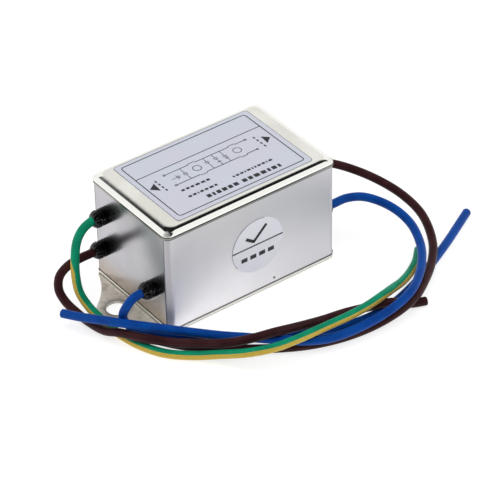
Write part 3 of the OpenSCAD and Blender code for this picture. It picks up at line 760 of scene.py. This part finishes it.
def plateSteel(p):
    # nickel-plated sheet: slow clouding, a fine tumbled grain, soft stains and a darker ring round each hole
    finish = Finish("plateSteel")
    cloud = finish.fade(finish.noise(0.09, 3, (1, 1, 1), 0.4), 0.3, 0.7)
    grain = finish.noise(7, 4)
    hair = finish.fade(finish.noise(1, 2, (0.25, 6, 6)), 0.8, 0.9)
    stains = finish.fade(finish.noise(0.45, 3), 0.45, 0.75)
    across, side = abs(finish.axis("X")) - p["holeX"], finish.axis("Y")
    fromHole = across.maths("SQRT", across * across + side * side)
    # darker in a ring round each hole
    darkerRoundHole = finish.fade(fromHole, 3.6, 6, 0.35, 0)
    darkerRoundHole += finish.fade(fromHole, 3.5, 4.6, 0.5, 0) * finish.noise(0.5, 2)
    base = finish.blend(cloud, tint("#fcf7ee"), tint("#f1e9de"))
    base = finish.blend(0.4 * stains, base, tint("#8a8175"))
    base = finish.blend(darkerRoundHole, base, tint("#4d463f"))
    roughness = 0.34 + 0.06 * (cloud - 0.5) + 0.08 * (grain - 0.5) + 0.05 * hair
    height = grain + 0.25 * hair
    finish.coat(Base_Color=base, Metallic=0.6, Roughness=roughness)
    return finish.coat(Normal=finish.bump(height, 0.12, 0.02))


plateMesh = copyOfNode("base_plate", plate["edgeRound"], 35)
addPiece("mountingPlate", plateMesh, plateSteel(plate), "base_plate")
print("plate made")


# Bushings: a barrel with gill slots, a neck groove and a fluted mouth, the lead going through

bushing = {
    "wallX": 31.7,
    "reach": 5.3,
    "sides": 60,
    "step": 0.1,
    "hole": 2.25,
    "barrel": 2.76,
    "neck": 2.2,
    "mouth": 1.78,
    "bore": 1.45,
    "inside": 0.55,
    "neckShare": 0.51,
    "neckHalf": 0.25,
    "gills": (0.75, 1.3, 1.85),
    "gillHalf": 0.2,
    "gillDepth": 0.55,
    "flutes": 11,
    "fluteDepth": 0.28,
    "earthDroop": 0.22,
    "loadReach": 3.2,  # the photograph shows none past the can's edge at this end
    "loadGills": (0.6,),
}


def bushingRadius(b, out, turn):
    # the outer skin's radius at a distance from the wall and a turn about the lead
    if out < 0:
        return b["hole"]
    neckAt, neckHalf = b["reach"] * b["neckShare"], b["neckHalf"]
    if out < neckAt - neckHalf:
        # a barrel, rounded at the wall and at the neck, with gills on two sides
        atWall, atNeck = max(0, 1 - out / 0.35), max(0, (out - neckAt + 0.65) / 0.4)
        barrel = b["barrel"] - 0.3 * atWall**2 - 0.1 * atNeck**2
        gill = max(1 - abs(out - place) / b["gillHalf"] for place in b["gills"])
        onSide = min(1, max(0, abs(cos(turn + 0.5)) - 0.35) * 6)
        return barrel - b["gillDepth"] * min(1, max(0, gill) * 2.2) * onSide
    if out < neckAt + neckHalf:
        return b["neck"] + 0.25 * abs((out - neckAt) / neckHalf) ** 6
    share = max(0, (out - neckAt - neckHalf) / (b["reach"] - neckAt - neckHalf))
    cone = b["barrel"] + 0.06 - (b["barrel"] - b["mouth"]) * share**2.6
    flute = max(0, cos(b["flutes"] * turn)) ** 0.7
    return cone - b["fluteDepth"] * flute * min(1, share * 5) * min(1, (1 - share) * 4)


def bushingShape(b, end, y, z, droop):
    count = round((b["reach"] + b["inside"]) / b["step"])
    outs = [-b["inside"] + b["step"] * k for k in range(count + 1)]
    loops = []

    def ring(out, radius):
        x, lowered = end * (b["wallX"] + out), z - droop * max(0, out / b["reach"]) ** 2
        turns = [tau * k / b["sides"] for k in range(b["sides"])]
        loops.append([(x, y + radius(t) * cos(t), lowered + radius(t) * sin(t)) for t in turns])

    ring(-b["inside"], lambda turn: b["bore"])
    for out in outs:
        ring(out, lambda turn: bushingRadius(b, out, turn))
    ring(b["reach"] + 0.02, lambda turn: b["bore"] + 0.1)
    ring(b["reach"] - 0.1, lambda turn: b["bore"])
    shape = loopsToShape(loops, False)
    bmesh.ops.bridge_loops(shape, edges=[edge for edge in shape.edges if edge.is_boundary])
    bmesh.ops.recalc_face_normals(shape, faces=shape.faces)
    return shape


def blackNylon():
    finish = Finish("bushingNylon")
    grain = finish.noise(4, 4)
    flow = finish.noise(0.8, 2, (1, 1, 3))
    base = finish.blend(flow, tint("#040405"), tint("#0b0b0d"))
    finish.coat(Base_Color=base, Roughness=0.12 + 0.1 * grain, Normal=finish.bump(grain, 0.2, 0.02))
    return finish.coat(Specular_IOR_Level=0.45)


bushingFinish = blackNylon()
for name, (end, y, z) in sorted(can["holes"].items()):
    sized = bushing if end < 0 else {**bushing, "reach": bushing["loadReach"], "gills": bushing["loadGills"]}
    droop = bushing["earthDroop"] if "earth" in name else 0
    mesh = meshOf("bushing_" + name, bushingShape(sized, end, y, z, droop))
    shadeByAngle(mesh, 40)
    addPiece("bushing." + name, mesh, bushingFinish, "bushing_" + name)
print("bushings made")


# Type label: foil with a printed frame, a circuit drawing and plain bars where the real one has words

label = {
    "length": 51,
    "width": 34.4,
    "radius": 1.2,
    "thickness": 0.1,
    "edge": 0.03,
    "middle": (0.2, 0.4),
    "low": 38,
    "ink": 0.012,
    # rows of bars: from, to, height, the bars' widths and the gap between them
    "rows": (
        ((-18.9, 4.1), (-18.6, -2.2), 0.55, (1, 1, 1, 1), 0.7),
        ((18.4, 4.4), (18.6, -2.1), 0.55, (1, 1, 1, 1), 0.7),
        ((-15.4, -4.9), (-5.2, -5.2), 0.95, (1, 1, 1, 1.3, 1.2, 1), 0.45),
        ((-15.5, -8.7), (-5, -8.8), 0.95, (1, 1, 0.4, 1, 1, 1.2, 0.8), 0.45),
        ((1, -8.7), (15.8, -8.65), 0.85, (0.6, 1, 1, 0.4, 1.1, 0.5, 0.6, 1, 1, 0.4, 1.1), 0.42),
        ((-11, -12), (0.4, -12.2), 1.6, (1, 0.6, 1, 1.1, 1, 1.1), 0.42),
        ((2, -12.2), (16.2, -12.5), 1.6, (1, 0.9, 1.2, 1.1, 0.6, 1, 0.6), 0.42),
    ),
}


def foilShape(s):
    top, edge = s["low"] + s["thickness"], s["edge"]
    loops = []
    for inset, z in ((0, s["low"]), (0, top - edge), (edge, top)):
        loop = roundedLoop(s["length"] / 2 - inset, s["width"] / 2 - inset, s["radius"] - inset, 8, z)
        loops.append([(x + s["middle"][0], y + s["middle"][1], z) for x, y, z in loop])
    return loopsToShape(loops)


def labelFoil():
    finish = Finish("labelFoil")
    speckle = finish.noise(9, 3)
    cloud = finish.fade(finish.noise(0.07, 2), 0.3, 0.7)
    base = finish.blend(cloud, tint("#d8deeb"), tint("#dbdbeb"))
    base = finish.blend(0.12 * speckle, base, tint("#ffffff"))
    finish.coat(Base_Color=base, Metallic=0.35, Roughness=0.36 + 0.12 * speckle)
    return finish.coat(Normal=finish.bump(speckle, 0.12, 0.01))


def printInk(name, colour):
    finish = Finish(name)
    worn = finish.fade(finish.noise(3, 4), 0.35, 0.8)
    base = finish.blend(0.3 * worn, tint(colour), tint("#4a4e58"))
    return finish.coat(Base_Color=base, Roughness=0.5 + 0.15 * worn, Normal=finish.bump(worn, 0.1, 0.01))


class InkSheet:
    # flat shapes printed on a surface, drawn in millimetres
    def __init__(self, origin, right, up, thickness):
        self.shape = bmesh.new()
        self.origin, self.right, self.up = Vector(origin), Vector(right), Vector(up)
        self.out = self.right.cross(self.up) * thickness

    def put(self, x, y, lift):
        return self.shape.verts.new((self.origin + x * self.right + y * self.up + lift * self.out) * mm)

    def area(self, outline):
        # a filled shape with thin sides
        low = [self.put(x, y, 0) for x, y in outline]
        high = [self.put(x, y, 1) for x, y in outline]
        self.shape.faces.new(high)
        self.shape.faces.new(list(reversed(low)))
        joinRings(self.shape, [low, high])

    def band(self, inner, outer):
        # a closed line between two outlines of the same count
        edges = ((inner, 0), (inner, 1), (outer, 1), (outer, 0))
        rows = [[self.put(x, y, lift) for x, y in outline] for outline, lift in edges]
        joinRings(self.shape, rows + rows[:1])

    def stroke(self, start, end, width):
        a, b = Vector(start), Vector(end)
        side = (b - a).normalized().orthogonal() * width / 2
        self.area([a + side, a - side, b - side, b + side])

    def strokes(self, points, width):
        for start, end in zip(points, points[1:]):
            self.stroke(start, end, width)

    def ring(self, middle, radius, width, start=0, stop=360, steps=28):
        whole = stop - start == 360
        turns = [radians(start + (stop - start) * k / steps) for k in range(steps if whole else steps + 1)]
        inner, outer = (
            [(middle[0] + r * cos(t), middle[1] + r * sin(t)) for t in turns]
            for r in (radius - width / 2, radius + width / 2)
        )
        if whole:
            self.band(inner, outer)
        else:
            self.area(outer + list(reversed(inner)))

    def frame(self, halfLength, halfWidth, radius, width, middle=(0, 0)):
        loops = []
        for q in (-width / 2, width / 2):
            loop = roundedLoop(halfLength + q, halfWidth + q, radius + q, 6, 0)
            loops.append([(x + middle[0], y + middle[1]) for x, y, z in loop])
        self.band(*loops)

    def mesh(self, name):
        bmesh.ops.recalc_face_normals(self.shape, faces=self.shape.faces)
        return meshOf(name, self.shape)


def plainRow(sheet, start, end, height, widths, gap):
    # a row of plain bars, where the real label has words
    a, b = Vector(start), Vector(end)
    way = (b - a).normalized()
    total = sum(widths) + gap * (len(widths) - 1)
    scale, run = (b - a).length / total, 0
    for width in widths:
        sheet.stroke(a + way * run * scale, a + way * (run + width) * scale, height)
        run += width + gap


def labelPrint(settings):
    sheet = InkSheet((0, 0, settings["low"] + settings["thickness"]), (1, 0, 0), (0, 1, 0), settings["ink"])
    line, fine = 0.3, 0.22
    high, low = 4.7, -1.6  # the circuit's two rails
    sheet.frame(23.46, 15.36, 1, 0.36, (0.16, 0.48))
    sheet.frame(25.34, 17.04, 1.1, 0.13, settings["middle"])  # the foil's cut edge
    sheet.stroke((-23.2, 7.85), (23.5, 7.85), 0.32)
    sheet.area([(-22.6, 1.35), (-20.2, -1), (-19.9, 3.25)])
    sheet.area([(22.6, 1.1), (20.4, 3.2), (20.1, -0.9)])
    for coil in (-4.8, 10.4):
        # the two windings of a choke and its core
        for crest, start in ((high + 0.12, 0), (low - 0.12, 180)):
            for k in (-1, 0, 1):
                sheet.ring((coil + 0.8 * k, crest), 0.4, fine, start, start + 180, 10)
        sheet.ring((coil, 1.75), 1.35, 0.26)
    for rail in (high, low):
        sheet.strokes([(-14.6, rail), (-6, rail)], line)
        sheet.strokes([(-3.6, rail), (9.2, rail)], line)
        sheet.strokes([(11.6, rail), (15.2, rail)], line)
        for x in (-15, 15.6):
            sheet.ring((x, rail), 0.34, 0.3, steps=16)
    for x in (-9.3, -0.65, 2.6, 5.6):
        # a part across the rails, with its two plates
        middle = 1.55 if x < -5 or x > 5 else 2.3
        sheet.stroke((x, high - 0.1), (x, middle + 0.32), fine)
        sheet.stroke((x, middle - 0.32), (x, low + 0.1), fine)
        for lift in (-0.32, 0.32):
            sheet.stroke((x - 0.75, middle + lift), (x + 0.75, middle + lift), 0.26)
    for x in (2.6, 5.6):
        sheet.stroke((x - 0.75, 0.35), (x + 0.75, 0.35), 0.26)
    sheet.stroke((-14.4, 1.5), (-12.4, 1.5), fine)
    for k, size in enumerate((1.1, 0.7, 0.35)):
        sheet.stroke((-12.3 + 0.42 * k, 1.5 - size), (-12.3 + 0.42 * k, 1.5 + size), 0.24)
    for row in settings["rows"]:
        plainRow(sheet, *row)
    return sheet.mesh("labelPrint")


foilMesh = meshOf("labelFoil", foilShape(label))
shadeByAngle(foilMesh, 30)
addPiece("labelFoil", foilMesh, labelFoil(), "type_label")
addPiece("labelPrint", labelPrint(label), printInk("labelInk", "#15181f"))
print("label made")


# Inspection sticker on the long side

sticker = {
    "diameter": 19.3,
    "sides": 72,
    "thickness": 0.1,
    "edge": 0.03,
    "middle": (1.7, -19.7, 18.6),
    "ink": 0.012,
}


def stickerShape(s):
    x, y, z = s["middle"]
    turns = [tau * k / s["sides"] for k in range(s["sides"])]
    loops = []
    for inset, out in ((0, 0), (0, s["thickness"] - s["edge"]), (s["edge"], s["thickness"])):
        r = s["diameter"] / 2 - inset
        loops.append([(x + r * cos(t), y - out, z + r * sin(t)) for t in turns])
    return loopsToShape(loops)


def stickerFilm():
    finish = Finish("stickerFilm")
    speckle = finish.noise(8, 3)
    base = finish.blend(0.3 * speckle, tint("#f2f2fb"), tint("#fafaff"))
    return finish.coat(Base_Color=base, Roughness=0.42 + 0.1 * speckle, Normal=finish.bump(speckle, 0.1, 0.01))


def stickerPrint(s):
    x, y, z = s["middle"]
    sheet = InkSheet((x, y - s["thickness"], z), (1, 0, 0), (0, 0, 1), s["ink"])
    sheet.stroke((-9.55, 0.35), (9.55, 0.35), 0.5)
    sheet.ring((0, 0), 9.58, 0.12, 75, 215, 48)
    sheet.strokes([(-4.4, 4), (-1.4, 1.9)], 1.05)  # a generic tick
    sheet.strokes([(-1.7, 1.75), (3.4, 6.6)], 1.05)
    plainRow(sheet, (-6.3, -3.6), (6.1, -3.6), 1.5, (1.2, 1.2, 1.2, 1.2), 0.55)
    return sheet.mesh("stickerPrint")


stickerMesh = meshOf("stickerFilm", stickerShape(sticker))
shadeByAngle(stickerMesh, 30)
addPiece("stickerFilm", stickerMesh, stickerFilm(), "inspection_sticker")
addPiece("stickerPrint", stickerPrint(sticker), printInk("stickerInk", "#06070c"))
print("sticker made")


# Inside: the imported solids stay, each with the finish of its real counterpart


def speckled(name, light, dark, rough, scale=3, depth=0.02):
    finish = Finish(name)
    grain = finish.noise(scale, 4)
    cloud = finish.fade(finish.noise(0.25, 2), 0.3, 0.7)
    base = finish.blend(0.6 * cloud + 0.4 * grain, tint(light), tint(dark))
    finish.coat(Base_Color=base, Roughness=rough + 0.14 * (grain - 0.5))
    return finish.coat(Normal=finish.bump(grain, 0.3, depth))


def turnedMetal(name, light, dark, rough):
    # lathe marks round an upright part
    finish = Finish(name)
    marks = finish.noise(1, 3, (0.3, 0.3, 9))
    base = finish.blend(marks, tint(light), tint(dark))
    finish.coat(Base_Color=base, Metallic=1, Roughness=rough + 0.12 * (marks - 0.5))
    return finish.coat(Normal=finish.bump(marks, 0.3, 0.02))


def wovenBoard():
    # glass cloth showing through a green solder mask
    finish = Finish("boardLaminate")
    warp = abs((finish.axis("X") / 0.7) % 1 - 0.5)
    weft = abs((finish.axis("Y") / 0.7) % 1 - 0.5)
    weave = warp + weft
    base = finish.blend(weave, tint("#2c6238"), tint("#3d7a4a"))
    base = finish.blend(0.3 * finish.noise(0.3, 2), base, tint("#24502f"))
    return finish.coat(Base_Color=base, Roughness=0.34 + 0.08 * weave, Normal=finish.bump(weave, 0.2, 0.02))


def woundCopper(name, middle):
    # enamelled wire, its turns side by side about the ring core's middle
    finish = Finish(name)
    across, up = finish.axis("Y") - middle[1], finish.axis("Z") - middle[2]
    turns = (up.maths("ARCTAN2", up, across) * 11.5) % 1
    crown = 1 - abs(turns - 0.5) * 2
    # painted shade: dark between the turns, lighter on their crowns
    shade = finish.fade(crown, 0, 0.5)
    bright = finish.blend(finish.noise(2, 3), tint("#b4561f"), tint("#9c4316"))
    base = finish.blend(shade, tint("#4d210c"), bright)
    finish.coat(Base_Color=base, Metallic=0.8, Roughness=0.26 + 0.1 * (1 - shade))
    return finish.coat(Normal=finish.bump(crown.maths("POWER", crown, 0.5), 0.7, 0.25))


def bandedResistor(lo, hi):
    # a dipped body with plain colour rings along its length
    finish = Finish("resistorCoating")
    long = max(range(3), key=lambda k: hi[k] - lo[k])
    share = (finish.axis("XYZ"[long]) - lo[long]) / (hi[long] - lo[long])
    base = finish.blend(finish.noise(3, 3), tint("#d0b184"), tint("#bf9d6d"))
    for spot, colour in ((0.36, "#5a2c17"), (0.45, "#1a1a1c"), (0.54, "#c96a1f"), (0.68, "#c9a74a")):
        base = finish.blend(finish.near(share, spot, 0.03), base, tint(colour))
    return finish.coat(Base_Color=base, Roughness=0.32 + 0.1 * finish.noise(2, 2))


def boxOf(node):
    lo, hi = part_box(node)
    return [v / mm for v in lo], [v / mm for v in hi]


def middleOf(node):
    lo, hi = boxOf(node)
    return [(a + b) / 2 for a, b in zip(lo, hi)]


innerFinishes = {
    "insulating_tray": speckled("trayPlastic", "#e8e8de", "#d8d7ca", 0.5),
    "board_posts": turnedMetal("postBrass", "#c9b06c", "#a58c4c", 0.3),
    "board_screws": turnedMetal("screwSteel", "#c6c7c9", "#9fa1a4", 0.28),
    "circuit_board": wovenBoard(),
    "film_capacitor_line": speckled("filmCaseLine", "#dcbb4c", "#cda93f", 0.36, scale=6),
    "film_capacitor_load": speckled("filmCaseLoad", "#dab84a", "#c9a43b", 0.38, scale=6),
    "disc_capacitor_live": speckled("discCoatingLive", "#2a569c", "#1e4486", 0.3, scale=1.4, depth=0.06),
    "disc_capacitor_neutral": speckled("discCoatingNeutral", "#2a569c", "#204789", 0.32, scale=1.4, depth=0.06),
    "bleed_resistor": bandedResistor(*boxOf("bleed_resistor")),
}
coreCoat = speckled("coreCoat", "#2f5038", "#1f3a28", 0.42, scale=2.2, depth=0.05)
chokePlastic = speckled("chokePlastic", "#25262a", "#1a1b1e", 0.4)
for side in ("line", "load"):
    innerFinishes["choke_core_" + side] = coreCoat
    innerFinishes["choke_base_" + side] = innerFinishes["choke_divider_" + side] = chokePlastic
    copper = woundCopper("windingCopper." + side, middleOf("choke_core_" + side))
    innerFinishes["winding_" + side + "_live"] = innerFinishes["winding_" + side + "_neutral"] = copper

for node, finish in innerFinishes.items():
    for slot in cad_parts[node].material_slots:
        slot.material = finish.material
print("inner parts finished:", len(innerFinishes))


# Floor and light

studio = {
    "floorSize": 6,
    "skyStrength": 1,
    "lampPlace": (-0.15, -0.25, 1.2),
    "lampSize": 1.4,
    "lampPower": 10,
    "floorGlow": 0.76,
    "rise": (0.65, 0.745),  # the dark card overhead: how high it starts, and its two straight edges
    "cardX": (-0.2, -0.15),
    "cardY": (-0.24, -0.18),
    "lensSpot": (0.62, 0.74),  # the dark spot where the photograph's camera stands
}


def layFloor(s):
    shape = bmesh.new()
    bmesh.ops.create_grid(shape, x_segments=1, y_segments=1, size=s["floorSize"] / 2)
    mesh = meshOf("floor", shape)
    floor = addObject("floor", mesh)
    finish = Finish("paleFloor")
    soft = finish.noise(0.004, 2)
    base = finish.blend(soft, (0.38, 0.38, 0.38, 1), (0.42, 0.42, 0.42, 1))
    finish.coat(Base_Color=base, Roughness=0.9, Specular_IOR_Level=0)
    finish.coat(Emission_Color=(1, 1, 1, 1), Emission_Strength=s["floorGlow"])
    mesh.materials.append(finish.material)


def lightStudio(s, view):
    # a white room with a dark card above and behind and a dark spot at the photograph's camera, which
    # draw the can's roundings; both stay in place whatever the view
    world = bpy.data.worlds.new("studio")
    bpy.context.scene.world = world
    world.use_nodes = True
    sky = Recipe(world.node_tree)
    way = sky.node("ShaderNodeTexCoord", output="Generated")
    x, y, z = (sky.axis(name, way) for name in "XYZ")
    card = sky.fade(z, *s["rise"]) * sky.fade(x, *s["cardX"]) * sky.fade(y, *s["cardY"])
    back = wayToCamera(view)
    towards = x * back.x + y * back.y + z * back.z
    dark = card.most(sky.fade(towards, *s["lensSpot"]))
    colour = sky.blend(dark, (1, 0.995, 0.985, 1), (0.012, 0.012, 0.013, 1))
    backdrop = world.node_tree.nodes["Background"]
    world.node_tree.links.new(colour.socket, backdrop.inputs["Color"])
    backdrop.inputs["Strength"].default_value = s["skyStrength"]
    lamp = bpy.data.lights.new("overhead", "AREA")
    lamp.size = s["lampSize"]
    lamp.energy = s["lampPower"]
    overhead = addObject("overhead", lamp)
    overhead.location = s["lampPlace"]
    overhead.rotation_euler = (-Vector(s["lampPlace"])).to_track_quat("-Z", "Y").to_euler()
    overhead.visible_glossy = False
    bpy.context.scene.view_settings.view_transform = "Standard"


layFloor(studio)
lightStudio(studio, cameraView)
print("studio lit")
